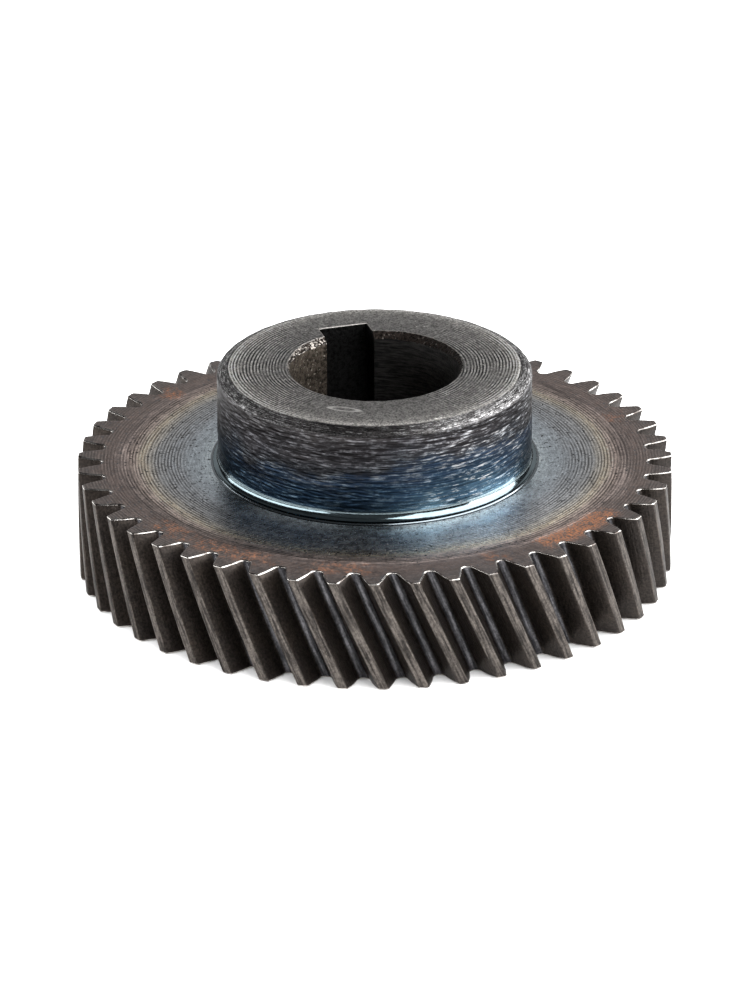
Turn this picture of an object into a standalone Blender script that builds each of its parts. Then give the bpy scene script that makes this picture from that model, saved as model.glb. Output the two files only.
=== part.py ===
"""Left-hand helical gear: a toothed wheel on the spigot of a keyed hub, joined by a braze.

The origin is on the bore's axis, in the wheel's back face. +Z runs along the bore
towards the hub's nose, and the keyway opens in the bore's +Y side.
"""
import math

import bmesh
import bpy

MM = 0.001

# ---- Driving dimensions ----
TOOTH_COUNT = 47
NORMAL_MODULE = 1.125 * MM
HELIX_ANGLE = math.radians(22.9)        # left-hand: seen from the front, teeth lean to the left as they rise
NORMAL_PRESSURE_ANGLE = math.radians(20.0)
TOOTH_PHASE = math.radians(-0.4)        # where one tooth's middle meets the front face, counted from +X
FACE_WIDTH = 11.4 * MM

BORE_DIAMETER = 17.0 * MM
KEYWAY_WIDTH = 5.0 * MM
KEYWAY_DEPTH = 2.3 * MM                 # deeper than the bore's wall, so 19.3 mm across bore and keyway
BORE_CHAMFER = 0.4 * MM

HUB_DIAMETER = 31.5 * MM
HUB_RISE = 10.0 * MM                    # the nose's height above the wheel's front face
NOSE_BEVEL_WIDTH = 1.35 * MM
NOSE_BEVEL_HEIGHT = 0.85 * MM
SPIGOT_DIAMETER = 27.0 * MM             # the hub's lower part, which the wheel fits over

BRAZE_HEIGHT = 1.1 * MM                 # how far the braze climbs the hub's root
BRAZE_REACH = 0.75 * MM                 # how far it stands out from the hub's wall
BRAZE_LIP = 0.2 * MM                    # thickness of its outer edge
ROOT_GROOVE_DEPTH = 0.9 * MM            # groove round the hub's root, which the braze fills

JOINT_GAP = 0.3 * MM                    # clear space between pieces that touch

# ---- Tooth form, from the driving dimensions ----
ADDENDUM = NORMAL_MODULE
DEDENDUM = 1.25 * NORMAL_MODULE
ROOT_ROUNDING = 0.33 * NORMAL_MODULE    # height of the rounded foot of a flank
TRANSVERSE_PRESSURE_ANGLE = math.atan(math.tan(NORMAL_PRESSURE_ANGLE) / math.cos(HELIX_ANGLE))
PITCH_RADIUS = TOOTH_COUNT * NORMAL_MODULE / math.cos(HELIX_ANGLE) / 2
BASE_RADIUS = PITCH_RADIUS * math.cos(TRANSVERSE_PRESSURE_ANGLE)
TIP_RADIUS = PITCH_RADIUS + ADDENDUM
ROOT_RADIUS = PITCH_RADIUS - DEDENDUM
TOOTH_PITCH = 2 * math.pi / TOOTH_COUNT
TWIST = FACE_WIDTH * math.tan(HELIX_ANGLE) / PITCH_RADIUS

# ---- Fineness of the solids ----
ROUND_STEPS = 72
FLANK_POINTS = 3
ROOT_POINTS = 2
TWIST_STEPS = 3
BEVEL_STEPS = 3
SHARP_ANGLE = math.radians(25.0)

BORE_RADIUS = BORE_DIAMETER / 2
HUB_RADIUS = HUB_DIAMETER / 2
SPIGOT_RADIUS = SPIGOT_DIAMETER / 2
NOSE_HEIGHT = FACE_WIDTH + HUB_RISE


def clear_scene():
    """Remove whatever the file holds."""
    for old in list(bpy.data.objects):
        bpy.data.objects.remove(old, do_unlink=True)


def new_collection(name):
    """Make a collection under the scene."""
    collection = bpy.data.collections.new(name)
    bpy.context.scene.collection.children.link(collection)
    return collection


def steel(name, colour, roughness):
    """Make a bare metal material."""
    material = bpy.data.materials.new(name)
    material.use_nodes = True
    shader = material.node_tree.nodes["Principled BSDF"]
    shader.inputs["Base Color"].default_value = (*colour, 1.0)
    shader.inputs["Metallic"].default_value = 1.0
    shader.inputs["Roughness"].default_value = roughness
    return material


def add_object(name, bm, collection, parent=None, material=None):
    """Turn a bmesh into an object of the collection, shaded smooth between its sharp edges."""
    bmesh.ops.recalc_face_normals(bm, faces=bm.faces)
    mesh = bpy.data.meshes.new(name)
    bm.to_mesh(mesh)
    bm.free()
    mesh.shade_smooth()
    mesh.set_sharp_from_angle(angle=SHARP_ANGLE)
    piece = bpy.data.objects.new(name, mesh)
    collection.objects.link(piece)
    piece.parent = parent
    if material is not None:
        mesh.materials.append(material)
    return piece


def add_turned_piece(name, profile, collection, parent, material):
    """Turn a closed outline of (radius, height) points about the bore's axis."""
    bm = bmesh.new()
    corners = [bm.verts.new((radius, 0.0, height)) for radius, height in profile]
    for corner, following in zip(corners, corners[1:] + corners[:1]):
        bm.edges.new((corner, following))
    piece = add_object(name, bm, collection, parent, material)
    turn = piece.modifiers.new("turn", "SCREW")
    turn.angle = 2 * math.pi
    turn.steps = ROUND_STEPS
    turn.render_steps = ROUND_STEPS
    turn.use_smooth_shade = True
    turn.use_merge_vertices = True
    turn.merge_threshold = 0.001 * MM
    return piece


def add_cutter(name, bm, cutters):
    """Make a shape that only cuts, left out of the part."""
    cutter = add_object(name, bm, cutters)
    cutter.hide_render = True
    cutter.display_type = "WIRE"
    return cutter


def cut(piece, cutter):
    """Take the cutter's shape out of the piece."""
    boolean = piece.modifiers.new(cutter.name, "BOOLEAN")
    boolean.operation = "DIFFERENCE"
    boolean.solver = "EXACT"
    boolean.object = cutter


def involute(angle):
    """The involute function, tan(angle) - angle."""
    return math.tan(angle) - angle


def half_tooth_angle(radius):
    """Half the angle that one tooth takes up at this radius."""
    pressure_angle = math.acos(BASE_RADIUS / radius)
    at_pitch = math.pi / (2 * TOOTH_COUNT)
    return at_pitch + involute(TRANSVERSE_PRESSURE_ANGLE) - involute(pressure_angle)


def right_side_of_tooth():
    """(angle from the tooth's middle, radius) from the middle of a gap up to the tip."""
    foot_radius = ROOT_RADIUS + ROOT_ROUNDING
    foot_angle = half_tooth_angle(foot_radius)
    half_gap = foot_radius * (TOOTH_PITCH / 2 - foot_angle)
    arc_radius = (half_gap ** 2 + ROOT_ROUNDING ** 2) / (2 * ROOT_ROUNDING)
    arc_end = math.asin(half_gap / arc_radius)

    points = []
    for step in range(ROOT_POINTS):
        turned = arc_end * step / ROOT_POINTS
        angle = -TOOTH_PITCH / 2 + arc_radius * math.sin(turned) / foot_radius
        points.append((angle, ROOT_RADIUS + arc_radius * (1 - math.cos(turned))))
    for step in range(FLANK_POINTS):
        radius = foot_radius + (TIP_RADIUS - foot_radius) * step / (FLANK_POINTS - 1)
        points.append((-half_tooth_angle(radius), radius))
    return points


def gear_outline():
    """The outline of all the teeth across the axis, as (angle, radius) points, anticlockwise."""
    rising = right_side_of_tooth()
    falling = [(-angle, radius) for angle, radius in reversed(rising[1:])]
    outline = []
    for tooth in range(TOOTH_COUNT):
        middle = TOOTH_PHASE + tooth * TOOTH_PITCH
        outline += [(middle + angle, radius) for angle, radius in rising + falling]
    return outline


def add_toothed_wheel(collection, cutters, parent):
    """The rim with its helical teeth and the flat web, holed for the hub's spigot."""
    bm = bmesh.new()
    outline = [
        bm.verts.new((radius * math.cos(angle), radius * math.sin(angle), FACE_WIDTH))
        for angle, radius in gear_outline()
    ]
    moving_face = bm.faces.new(outline)
    bmesh.ops.duplicate(bm, geom=[moving_face])    # the copy stays as the wheel's front face
    bmesh.ops.spin(
        bm,
        geom=[moving_face, *moving_face.edges, *outline],
        cent=(0, 0, 0),
        axis=(0, 0, 1),
        dvec=(0, 0, -FACE_WIDTH / TWIST_STEPS),
        angle=TWIST,
        steps=TWIST_STEPS,
    )
    bmesh.ops.remove_doubles(bm, verts=bm.verts, dist=0.001 * MM)
    wheel = add_object(
        "toothed_wheel", bm, collection, parent, steel("rim_steel", (0.16, 0.14, 0.13), 0.45)
    )

    hole = bmesh.new()
    bmesh.ops.create_cone(
        hole,
        cap_ends=True,
        segments=ROUND_STEPS,
        radius1=SPIGOT_RADIUS + JOINT_GAP,
        radius2=SPIGOT_RADIUS + JOINT_GAP,
        depth=2 * FACE_WIDTH,
    )
    bmesh.ops.translate(hole, verts=hole.verts, vec=(0, 0, FACE_WIDTH / 2))
    cut(wheel, add_cutter("spigot_hole", hole, cutters))
    return wheel


def add_keyed_hub(collection, cutters, parent):
    """The stepped hub with its bore, its keyway and the rounded bevel at its nose."""
    nose_radius = HUB_RADIUS - NOSE_BEVEL_WIDTH
    seat_height = FACE_WIDTH + JOINT_GAP
    groove_radius = HUB_RADIUS - ROOT_GROOVE_DEPTH
    groove_top = FACE_WIDTH + BRAZE_HEIGHT + JOINT_GAP
    rounding = []
    for step in range(BEVEL_STEPS + 1):
        turned = math.pi / 2 * step / BEVEL_STEPS
        fallen = NOSE_BEVEL_HEIGHT * (1 - math.cos(turned))
        rounding.append((nose_radius + NOSE_BEVEL_WIDTH * math.sin(turned), NOSE_HEIGHT - fallen))
    profile = [
        (BORE_RADIUS + BORE_CHAMFER, NOSE_HEIGHT),
        *rounding,
        (HUB_RADIUS, groove_top),
        (groove_radius, groove_top),
        (groove_radius, seat_height),
        (SPIGOT_RADIUS, seat_height),
        (SPIGOT_RADIUS, 0.0),
        (BORE_RADIUS + BORE_CHAMFER, 0.0),
        (BORE_RADIUS, BORE_CHAMFER),
        (BORE_RADIUS, NOSE_HEIGHT - BORE_CHAMFER),
    ]
    hub = add_turned_piece(
        "keyed_hub", profile, collection, parent, steel("hub_steel", (0.13, 0.14, 0.16), 0.4)
    )

    slot = bmesh.new()
    bmesh.ops.create_cube(slot, size=1.0)
    slot_reach = BORE_RADIUS + KEYWAY_DEPTH
    bmesh.ops.scale(slot, verts=slot.verts, vec=(KEYWAY_WIDTH, slot_reach, 2 * NOSE_HEIGHT))
    bmesh.ops.translate(slot, verts=slot.verts, vec=(0, slot_reach / 2, NOSE_HEIGHT / 2))
    cut(hub, add_cutter("keyway_slot", slot, cutters))
    return hub


def add_braze_fillet(collection, parent):
    """The ring of braze in the corner between hub and wheel, with a hollow face."""
    inner_radius = HUB_RADIUS - ROOT_GROOVE_DEPTH + JOINT_GAP
    outer_radius = HUB_RADIUS + BRAZE_REACH
    top_radius = HUB_RADIUS - JOINT_GAP
    bottom = FACE_WIDTH + JOINT_GAP
    lip_top = bottom + BRAZE_LIP
    top = FACE_WIDTH + BRAZE_HEIGHT

    hollow_steps = 4
    hollow_face = []
    for step in range(hollow_steps + 1):
        turned = math.pi / 2 * step / hollow_steps
        radius = outer_radius - (outer_radius - top_radius) * math.cos(turned)
        hollow_face.append((radius, top - (top - lip_top) * math.sin(turned)))
    profile = [(inner_radius, top), *hollow_face, (outer_radius, bottom), (inner_radius, bottom)]
    return add_turned_piece(
        "braze_fillet", profile, collection, parent, steel("braze", (0.35, 0.42, 0.46), 0.25)
    )


def main():
    """Build the gear."""
    clear_scene()
    parts = new_collection("helical_gear")
    cutters = new_collection("cutters")
    gear_axis = bpy.data.objects.new("gear_axis", None)
    parts.objects.link(gear_axis)
    add_toothed_wheel(parts, cutters, gear_axis)
    add_keyed_hub(parts, cutters, gear_axis)
    add_braze_fillet(parts, gear_axis)


main()
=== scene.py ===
"""Looks of the helical gear: fine meshes for its three pieces, their finishes, floor, lights and camera.

The mesh code works in millimetres, and points turn into metres where a mesh is made.
Angles go anticlockwise from +X, seen from above.
"""

import math

import bmesh
import bpy
import numpy as np
from mathutils import Matrix, Vector


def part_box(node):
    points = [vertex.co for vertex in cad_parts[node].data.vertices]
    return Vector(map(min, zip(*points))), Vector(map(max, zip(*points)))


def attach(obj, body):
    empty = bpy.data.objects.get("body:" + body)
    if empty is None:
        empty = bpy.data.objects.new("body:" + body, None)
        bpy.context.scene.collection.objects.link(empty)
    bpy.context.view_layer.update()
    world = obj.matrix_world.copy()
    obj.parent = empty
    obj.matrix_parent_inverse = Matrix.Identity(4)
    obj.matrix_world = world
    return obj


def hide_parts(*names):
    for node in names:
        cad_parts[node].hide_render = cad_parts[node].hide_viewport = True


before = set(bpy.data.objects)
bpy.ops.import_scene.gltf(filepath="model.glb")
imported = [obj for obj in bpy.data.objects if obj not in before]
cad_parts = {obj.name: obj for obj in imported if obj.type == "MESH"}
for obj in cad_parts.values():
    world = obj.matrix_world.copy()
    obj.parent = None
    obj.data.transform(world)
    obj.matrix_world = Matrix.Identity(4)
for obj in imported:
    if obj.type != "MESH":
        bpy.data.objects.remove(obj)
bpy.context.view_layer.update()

MM = 0.001


def box_mm(node):
    """A node's lowest and highest corners, in millimetres."""
    low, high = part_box(node)
    return np.array(low) / MM, np.array(high) / MM


# ---- Sizes read from the frame ----
wheel_low, wheel_high = box_mm("toothed_wheel")
hub_low, hub_high = box_mm("keyed_hub")
braze_low, braze_high = box_mm("braze_fillet")
TIP_RADIUS = (wheel_high[0] - wheel_low[0]) / 2
FACE = wheel_high[2]
HUB_RADIUS = (hub_high[0] - hub_low[0]) / 2
NOSE = hub_high[2]
BRAZE_RADIUS = (braze_high[0] - braze_low[0]) / 2
BRAZE_TOP = braze_high[2]

# ---- The design's other driving dimensions, as the part's source has them ----
TOOTH_COUNT = 47
HELIX_ANGLE = math.radians(22.9)
NORMAL_PRESSURE_ANGLE = math.radians(20.0)
TOOTH_PHASE = math.radians(-0.4)
BORE_RADIUS = 8.5
KEYWAY_HALF_WIDTH = 2.5
KEYWAY_FLOOR = 10.8
NOSE_BEVEL_WIDTH = 1.35
NOSE_BEVEL_HEIGHT = 0.85
BEVEL_START = math.radians(20)          # the bevel's slope where it leaves the nose; its foot is upright
SPIGOT_RADIUS = 13.5
ROOT_GROOVE_DEPTH = 0.9                 # the groove round the hub's root, which the braze fills

MODULE = TIP_RADIUS / (TOOTH_COUNT / math.cos(HELIX_ANGLE) / 2 + 1)
PITCH_RADIUS = TIP_RADIUS - MODULE
ROOT_RADIUS = PITCH_RADIUS - 1.25 * MODULE
ROOT_ROUNDING = 0.33 * MODULE
TRANSVERSE_PRESSURE_ANGLE = math.atan(math.tan(NORMAL_PRESSURE_ANGLE) / math.cos(HELIX_ANGLE))
BASE_RADIUS = PITCH_RADIUS * math.cos(TRANSVERSE_PRESSURE_ANGLE)
TOOTH_PITCH = 2 * math.pi / TOOTH_COUNT
TWIST_PER_MM = math.tan(HELIX_ANGLE) / PITCH_RADIUS

# ---- Marks of machining and wear ----
GROOVE_PITCH = 0.32
FACING_DEPTH = 0.012
EDGE_WEAR = 0.12
TIP_ROUNDING = 0.16
JOINT_LINE = 0.03                       # the fine gap between the spigot and the wheel's hole
SEAT_GAP = 0.01                         # how far the hub's shoulder stands over the wheel's front face
BROKEN_EDGE = 0.08                      # the small chamfer that every edge of the bore and keyway has
BACK_CHAMFER = 0.4
MOUTH_LEAST = 0.15                      # the bore's mouth is opened by hand, wider in some directions:
# (azimuth in degrees, half width in degrees, extra width)
MOUTH_SPREADS = ((48, 60, 0.62), (118, 28, 0.35))
# (azimuth in degrees, half width in degrees, strength) of the rust patches near the rim
RUST_PATCHES = (
    (-58, 11, 1.0), (-114, 7, 0.5), (-139, 10, 0.5), (-157, 6, 0.5),
    (-81, 3, 0.4), (125, 3, 0.6), (5, 3, 0.4),
)
BLUE_AND_LIT_SIDE = -72                        # azimuth in degrees where the hub's blue climbs highest, and round which the painted glow on the web and the painted light on the hub's wall and bevel lie
FAINT_GLOW_SIDE = -135                       # azimuth in degrees of a second, fainter painted glow on the web
SHADED_SIDE = -112                      # azimuth in degrees where the nose's bevel is darkest
DIRTY_SIDE = 138                        # azimuth in degrees of the bore's rough, rusty side
RINGED_SIDES = math.radians(-17)        # the nose's rings, painted as shade in the grooves and highlight on the ridges, show most towards this azimuth and its opposite
SCRATCH_AZIMUTH = math.radians(-123)    # a long narrow scratch loop on the nose
SCRATCH_RADIUS = 11.0
SCRATCH_SIZE = (1.5, 0.42)              # half its length round the axis and half its width

# ---- Fineness of the meshes ----
ROOT_POINTS = 5
FLANK_POINTS = 34
CORNER_POINTS = 4
ACROSS_TOOTH = 8
ALONG_TOOTH = 16
EDGE_STEPS = 3
FINE_STEP = 0.055
WALL_STEP = 0.055
HUB_COLUMNS = 540
BEVEL_POINTS = 24
BORE_POINTS = 480

# ---- Floor and camera ----
FLOOR_GAP = 0.05                        # how far the floor lies under the gear
VIEW_AZIMUTH = math.radians(-107.2)     # where the camera stands
VIEW_ELEVATION = math.radians(24.11)
VIEW_DISTANCE = 731.9                   # from the middle of the wheel's front face
VIEW_ROLL = math.radians(-0.23)
AIM_BELOW = 4.23                        # how far under that middle the camera aims, across its view
LENS = 262.65


# =====================================================================================
# Mesh building
# =====================================================================================
class Shell:
    """Patches of a surface, each a grid of points, welded into one closed mesh."""

    def __init__(self):
        self.points = []
        self.faces = []
        self.finishes = []
        self.count = 0

    def add(self, grid, finish, closed=False):
        """Add a (rows, columns, 3) grid. A closed grid joins its last column to its first."""
        rows, columns = grid.shape[:2]
        index = self.count + np.arange(rows * columns).reshape(rows, columns)
        if closed:
            index = np.concatenate([index, index[:, :1]], axis=1)
        corners = [index[:-1, :-1], index[:-1, 1:], index[1:, 1:], index[1:, :-1]]
        quads = np.stack(corners, axis=-1).reshape(-1, 4)
        self.points.append(grid.reshape(-1, 3))
        self.faces.append(quads)
        self.finishes.append(np.full(len(quads), finish, dtype=np.int32))
        self.count += rows * columns

    def build(self, name, materials, sharp_angle=math.radians(50)):
        """Weld the patches into an object, in metres."""
        mesh = bpy.data.meshes.new(name)
        points = np.concatenate(self.points) * MM
        faces = np.concatenate(self.faces)
        mesh.from_pydata(points.tolist(), [], faces.tolist())
        for material in materials:
            mesh.materials.append(material)
        mesh.polygons.foreach_set("material_index", np.concatenate(self.finishes))
        bm = bmesh.new()
        bm.from_mesh(mesh)
        bmesh.ops.remove_doubles(bm, verts=bm.verts, dist=0.002 * MM)
        bmesh.ops.recalc_face_normals(bm, faces=bm.faces)
        bm.to_mesh(mesh)
        bm.free()
        mesh.shade_smooth()
        mesh.set_sharp_from_angle(angle=sharp_angle)
        piece = bpy.data.objects.new(name, mesh)
        bpy.context.scene.collection.objects.link(piece)
        return piece


def polar_points(angle, radius, height):
    """Points from angles, radii and heights that broadcast together."""
    angle, radius, height = np.broadcast_arrays(angle, radius, height)
    return np.stack([radius * np.cos(angle), radius * np.sin(angle), height], axis=-1)


def waves(seed, angle, along, turns, rate, count=24):
    """A smooth random field of size about 1 that closes round the axis.

    It has up to turns waves in one turn, and up to rate waves in a millimetre along.
    """
    random = np.random.default_rng(seed)
    total = np.zeros(np.broadcast(angle, along).shape)
    for _ in range(count):
        wave_turns = random.integers(-turns, turns + 1)
        wave_rate = 2 * math.pi * rate * random.uniform(0.25, 1.0)
        total = total + np.sin(wave_turns * angle + wave_rate * along + random.uniform(0, 2 * math.pi))
    return total / math.sqrt(count / 2)


def smooth_step(value, low, high):
    """0 under low, 1 over high, smooth between."""
    t = np.clip((value - low) / (high - low), 0.0, 1.0)
    return t * t * (3 - 2 * t)


def facing_marks(angle, along, seed):
    """The uneven rings that a lathe tool leaves, as a height of about -1 to 0."""
    drift = 0.05 * waves(seed, angle, 0.0, 4, 0.0, count=6)
    uneven = 0.7 + 0.3 * waves(seed + 1, angle, along, 3, 0.5)
    return uneven * (np.abs(np.sin(math.pi * (along + drift) / GROOVE_PITCH)) - 1.0)


# =====================================================================================
# Toothed wheel
# =====================================================================================
def involute(angle):
    """The involute function."""
    return np.tan(angle) - angle


def half_tooth_angle(radius):
    """Half the angle that one tooth takes up at this radius."""
    pressure_angle = np.arccos(BASE_RADIUS / radius)
    return math.pi / (2 * TOOTH_COUNT) + involute(TRANSVERSE_PRESSURE_ANGLE) - involute(pressure_angle)


def tooth_side():
    """(angles from the tooth's middle, radii) of its right side, from the gap's middle to the tip."""
    foot = ROOT_RADIUS + ROOT_ROUNDING
    half_gap = foot * (TOOTH_PITCH / 2 - half_tooth_angle(foot))
    arc_radius = (half_gap ** 2 + ROOT_ROUNDING ** 2) / (2 * ROOT_ROUNDING)
    turn = np.linspace(0, math.asin(half_gap / arc_radius), ROOT_POINTS + 1)[:-1]
    root_angles = -TOOTH_PITCH / 2 + arc_radius * np.sin(turn) / foot
    root_radii = ROOT_RADIUS + arc_radius * (1 - np.cos(turn))
    flank_radii = np.linspace(foot, TIP_RADIUS - TIP_ROUNDING, FLANK_POINTS)
    flank_angles = -half_tooth_angle(flank_radii)

    corner = -half_tooth_angle(TIP_RADIUS)
    bend = np.linspace(0, 1, CORNER_POINTS + 1)[1:]
    keep = (1 - bend) ** 2
    corner_angles = corner + keep * (flank_angles[-1] - corner) + bend ** 2 * TIP_ROUNDING / TIP_RADIUS
    corner_radii = TIP_RADIUS - keep * TIP_ROUNDING
    angles = np.concatenate([root_angles, flank_angles, corner_angles])
    return angles, np.concatenate([root_radii, flank_radii, corner_radii])


def tooth_side_inset(inset):
    """The same right side, moved into the metal by inset."""
    angles, radii = tooth_side()
    across, outward = np.gradient(angles * radii), np.gradient(radii)
    length = np.hypot(across, outward)
    move_across, move_outward = outward / length, -across / length
    move_across[[0, -1]], move_outward[[0, -1]] = 0.0, -1.0
    return angles + inset * move_across / radii, radii + inset * move_outward


def tooth_middles():
    """The angles of the teeth's middles on the front face."""
    return TOOTH_PHASE + np.arange(TOOTH_COUNT) * TOOTH_PITCH


def tooth_loop(inset):
    """(angles, radii) of the outline of all teeth, anticlockwise, moved into the metal by inset."""
    angles, radii = tooth_side_inset(inset)
    across = np.linspace(-1, 1, ACROSS_TOOTH + 1)[1:-1]
    one_angles = np.concatenate([angles, across[::-1] * angles[-1], -angles[:0:-1]])
    one_radii = np.concatenate([radii, np.full(ACROSS_TOOTH - 1, radii[-1]), radii[:0:-1]])
    all_angles = tooth_middles()[:, None] + one_angles[None, :]
    return all_angles.ravel(), np.broadcast_to(one_radii, all_angles.shape).ravel()


def wheel_point(angle, radius, height):
    """A point of the wheel: turned along the helix by its height, and marked by machining and wear."""
    angle, radius, height = np.broadcast_arrays(angle, radius, height)
    turned_angle = angle + TWIST_PER_MM * (FACE - height)
    on_front = smooth_step(height, FACE - EDGE_WEAR, FACE)
    marked = smooth_step(radius, BRAZE_RADIUS, BRAZE_RADIUS + 4.5) * 0.75 + 0.25
    dents = 0.02 * np.clip(waves(3, angle, radius, 90, 0.8) - 1.3, 0, 2) * smooth_step(radius, 26.5, 28.5)
    lowered = on_front * (FACING_DEPTH * marked * facing_marks(angle, radius, 5) - dents)
    return polar_points(turned_angle, radius, height + lowered)


def wheel_end(shell, height, web_step, finish):
    """One end face: the web in rings, then the top of each tooth in rows."""
    side_angles, side_radii = tooth_side_inset(EDGE_WEAR)
    hidden = np.array([SPIGOT_RADIUS + JOINT_LINE, BRAZE_RADIUS - 0.8])
    rings = np.arange(BRAZE_RADIUS - 0.5, side_radii[0] - 0.02, web_step)
    web_radii = np.concatenate([hidden, rings, side_radii[:1]])[:, None]
    columns = TOOTH_COUNT * ACROSS_TOOTH
    web_angles = TOOTH_PHASE - TOOTH_PITCH / 2 + np.arange(columns) * TOOTH_PITCH / ACROSS_TOOTH
    shell.add(wheel_point(web_angles[None, :], web_radii, height), finish, closed=True)

    across = np.linspace(-1, 1, ACROSS_TOOTH + 1)[None, :]
    for middle in tooth_middles():
        rows = wheel_point(middle - across * side_angles[:, None], side_radii[:, None], height)
        shell.add(rows, finish)


def make_wheel(finishes):
    """The whole wheel: two end faces, rounded edges, tooth sides and the hole for the hub."""
    web, edge, flank, back = range(4)
    shell = Shell()
    wheel_end(shell, FACE, FINE_STEP, web)
    wheel_end(shell, 0.0, 0.5, back)

    turn = np.linspace(0, math.pi / 2, EDGE_STEPS + 1)
    for end, inward in ((FACE, -1), (0.0, 1)):
        ring_rows = []
        for part_turn in turn:
            angles, radii = tooth_loop(EDGE_WEAR * (1 - math.sin(part_turn)))
            drop = EDGE_WEAR * (1 - math.cos(part_turn))
            ring_rows.append(wheel_point(angles, radii, end + inward * drop))
        shell.add(np.stack(ring_rows), edge, closed=True)

    angles, radii = tooth_loop(0.0)
    heights = np.linspace(FACE - EDGE_WEAR, EDGE_WEAR, ALONG_TOOTH + 1)[:, None]
    shell.add(wheel_point(angles[None, :], radii[None, :], heights), flank, closed=True)

    columns = TOOTH_COUNT * ACROSS_TOOTH
    hole_angles = TOOTH_PHASE - TOOTH_PITCH / 2 + np.arange(columns) * TOOTH_PITCH / ACROSS_TOOTH
    hole_heights = np.linspace(FACE, 0.0, 9)[:, None]
    hole = wheel_point(hole_angles[None, :], SPIGOT_RADIUS + JOINT_LINE, hole_heights)
    shell.add(hole, back, closed=True)
    return shell.build("gear_wheel", finishes)


# =====================================================================================
# Keyed hub
# =====================================================================================
def spaced(start, end, step):
    """Points (radius, height) from start up to but without end, about step apart."""
    start, end = np.array(start), np.array(end)
    count = max(1, round(float(np.linalg.norm(end - start)) / step))
    return start + (end - start) * np.arange(count)[:, None] / count


def nose_bevel():
    """(radius, height) points down the hub's convex corner, from the nose face to the wall."""
    turn = np.linspace(BEVEL_START, math.pi / 2, BEVEL_POINTS)
    out = (np.sin(turn) - math.sin(BEVEL_START)) / (1 - math.sin(BEVEL_START))
    down = 1 - np.cos(turn) / math.cos(BEVEL_START)
    nose_radius = HUB_RADIUS - NOSE_BEVEL_WIDTH
    return np.stack([nose_radius + NOSE_BEVEL_WIDTH * out, NOSE - NOSE_BEVEL_HEIGHT * down], axis=1)


def make_hub(finishes):
    """The hub's outside as one turned surface, with the bore and keyway cut through it."""
    nose_radius = HUB_RADIUS - NOSE_BEVEL_WIDTH
    bevel_foot = NOSE - NOSE_BEVEL_HEIGHT
    wall_foot = BRAZE_TOP + 0.05
    inside = BORE_RADIUS - 1.5
    groove = HUB_RADIUS - ROOT_GROOVE_DEPTH
    seat = FACE + SEAT_GAP
    outer_side = [
        spaced((inside, NOSE), (nose_radius, NOSE), FINE_STEP),
        nose_bevel()[:-1],
        spaced((HUB_RADIUS, bevel_foot), (HUB_RADIUS, wall_foot), WALL_STEP),
        spaced((HUB_RADIUS, wall_foot), (HUB_RADIUS - 0.3, wall_foot - 0.02), 0.1),
        spaced((HUB_RADIUS - 0.3, wall_foot - 0.02), (groove, wall_foot - 0.02), 0.3),
        spaced((groove, wall_foot - 0.02), (groove, seat), 0.5),
        spaced((groove, seat), (SPIGOT_RADIUS, seat), 1.0),
        spaced((SPIGOT_RADIUS, seat), (SPIGOT_RADIUS, 0.15), 3.0),
    ]
    under_side = [
        spaced((SPIGOT_RADIUS, 0.15), (SPIGOT_RADIUS - 0.15, 0.0), 0.1),
        spaced((SPIGOT_RADIUS - 0.15, 0.0), (inside, 0.0), 0.5),
        spaced((inside, 0.0), (inside, NOSE), 3.0),
    ]
    profile = np.concatenate([*outer_side, *under_side, [(inside, NOSE)]])
    radius, height = profile[:, :1], profile[:, 1:]
    angle = np.arange(HUB_COLUMNS)[None, :] * 2 * math.pi / HUB_COLUMNS

    on_nose = (height > NOSE - 0.02) * smooth_step(radius, BORE_RADIUS - 0.3, BORE_RADIUS + 0.1)
    on_bevel = smooth_step(radius, nose_radius, nose_radius + 0.2) * (height > bevel_foot)
    on_wall = (radius > HUB_RADIUS - 0.02) * smooth_step(height, wall_foot, wall_foot + 0.3)
    ridges = facing_marks(angle, height * 1.1 + radius, 41)
    torn = np.clip(waves(42, angle, height, 60, 3.2, count=48), -1.2, 1.8)
    broad = waves(43, angle, height, 9, 0.5)
    ragged = 1 + 0.5 * waves(44, angle, 0.0, 40, 0.0)
    burr = 0.018 * np.exp(-((radius - nose_radius + 0.06) / 0.05) ** 2) * ragged
    nose_marks = FACING_DEPTH * 1.2 * facing_marks(angle, radius, 40)
    wall_marks = 0.010 * ridges + 0.010 * torn + 0.012 * broad
    bevel_marks = 0.016 * ridges + 0.010 * torn
    lower = on_nose * (nose_marks + burr) + 0.7 * on_bevel * bevel_marks
    inward = on_wall * (wall_marks - 0.02) + 0.7 * on_bevel * bevel_marks
    rows = polar_points(angle, radius + inward, height + lower)
    first_back_row = sum(len(stretch) for stretch in outer_side)
    outer, bore, mouth, back = range(4)
    shell = Shell()
    shell.add(rows[:first_back_row + 1], outer, closed=True)
    shell.add(rows[first_back_row:], back, closed=True)
    hub = shell.build("gear_hub", finishes)
    for cutter in (bore_cutter(finishes[bore]), mouth_cutter(finishes[mouth])):
        subtract(hub, cutter)
    hub.data.shade_smooth()
    hub.data.set_sharp_from_angle(angle=math.radians(35))
    return hub


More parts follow.
